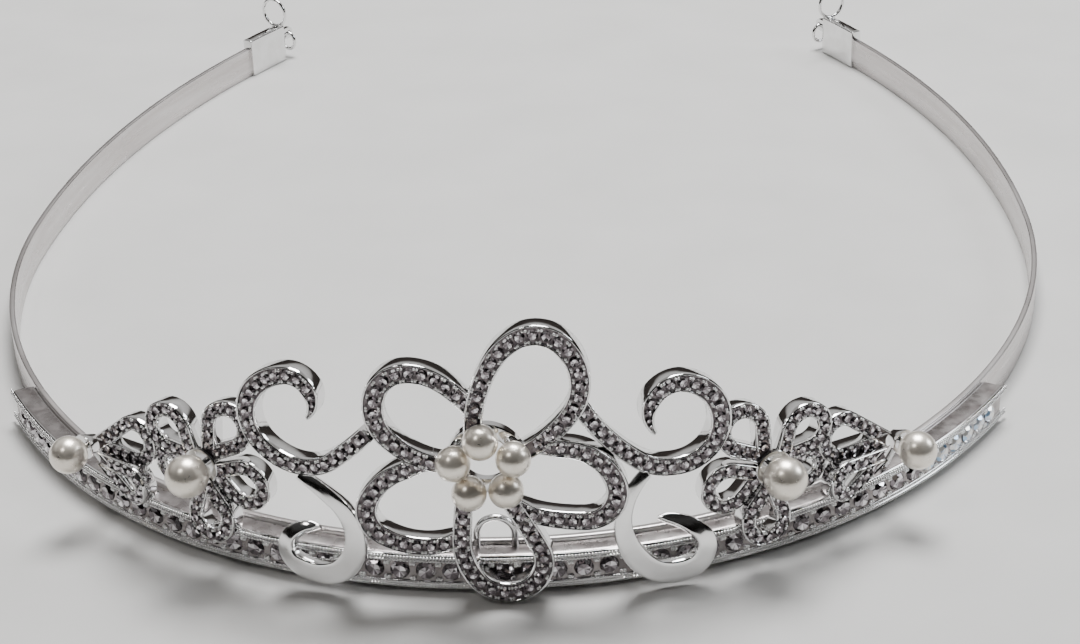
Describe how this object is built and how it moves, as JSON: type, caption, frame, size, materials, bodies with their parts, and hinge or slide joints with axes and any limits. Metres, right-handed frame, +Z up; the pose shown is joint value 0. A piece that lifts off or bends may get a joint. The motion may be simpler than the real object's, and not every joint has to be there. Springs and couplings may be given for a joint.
{
  "type": "bridal tiara",
  "caption": "Open spring headband with a stone-set front rail, a large looped flower with a ring of pearls, scrolls, hooks, small pearl flowers, end leaves and a hair ring at each end.",
  "frame": {"origin": "centre of the bounding box in plan, on the surface that the band lies on", "axes": "+Z up, the way the ornament stands; -Y is the front that faces a viewer; +Y towards the open ends of the band; +X to the viewer's right"},
  "size_m": [0.1442, 0.1786, 0.0342],
  "materials": {
    "set_plate": "polished silver-coloured plate on the cast, stone-set pieces and the rail",
    "plain_plate": "polished silver-coloured plate on the plain hooks",
    "strip_steel": "satin plated spring strip",
    "sleeve_plate": "plated folded sheet",
    "wire": "plated wire",
    "clear_stone": "faceted clear stone with a foil back, grey-mauve in this light",
    "pearl": "ivory imitation pearl"
  },
  "bodies": {
    "tiara": {"headband_strip": "strip_steel", "left_end_sleeve": "sleeve_plate", "right_end_sleeve": "sleeve_plate", "left_pin_loop": "wire", "right_pin_loop": "wire", "stone_rail": "set_plate", "rail_stones": "clear_stone", "rear_wire_loop": "wire", "petal_top": "set_plate", "petal_upper_left": "set_plate", "petal_lower_left": "set_plate", "petal_right": "set_plate", "petal_bottom": "set_plate", "petal_top_stones": "clear_stone", "petal_upper_left_stones": "clear_stone", "petal_lower_left_stones": "clear_stone", "petal_right_stones": "clear_stone", "petal_bottom_stones": "clear_stone", "pearl_seat": "set_plate", "centre_pearl_1": "pearl", "centre_pearl_2": "pearl", "centre_pearl_3": "pearl", "centre_pearl_4": "pearl", "centre_pearl_5": "pearl", "left_scroll": "set_plate", "right_scroll": "set_plate", "left_scroll_stones": "clear_stone", "right_scroll_stones": "clear_stone", "left_hook": "plain_plate", "right_hook": "plain_plate", "left_flower": "set_plate", "right_flower": "set_plate", "left_flower_stones": "clear_stone", "right_flower_stones": "clear_stone", "left_flower_pearl": "pearl", "right_flower_pearl": "pearl", "left_leaf": "set_plate", "right_leaf": "set_plate", "left_leaf_stones": "clear_stone", "right_leaf_stones": "clear_stone", "left_end_pearl": "pearl", "right_end_pearl": "pearl"},
    "left_ring": {"left_hair_ring": "wire"},
    "right_ring": {"right_hair_ring": "wire"}
  },
  "joints": [
    {"name": "left_ring_swing", "type": "hinge", "parent": "tiara", "child": "left_ring", "pos_m": [-0.04805, 0.08818, 0.0046], "axis": [0.8616, -0.5075, 0], "range_deg": [-20, 180]},
    {"name": "right_ring_swing", "type": "hinge", "parent": "tiara", "child": "right_ring", "pos_m": [0.04805, 0.08818, 0.0046], "axis": [0.8616, 0.5075, 0], "range_deg": [-20, 180]}
  ]
}
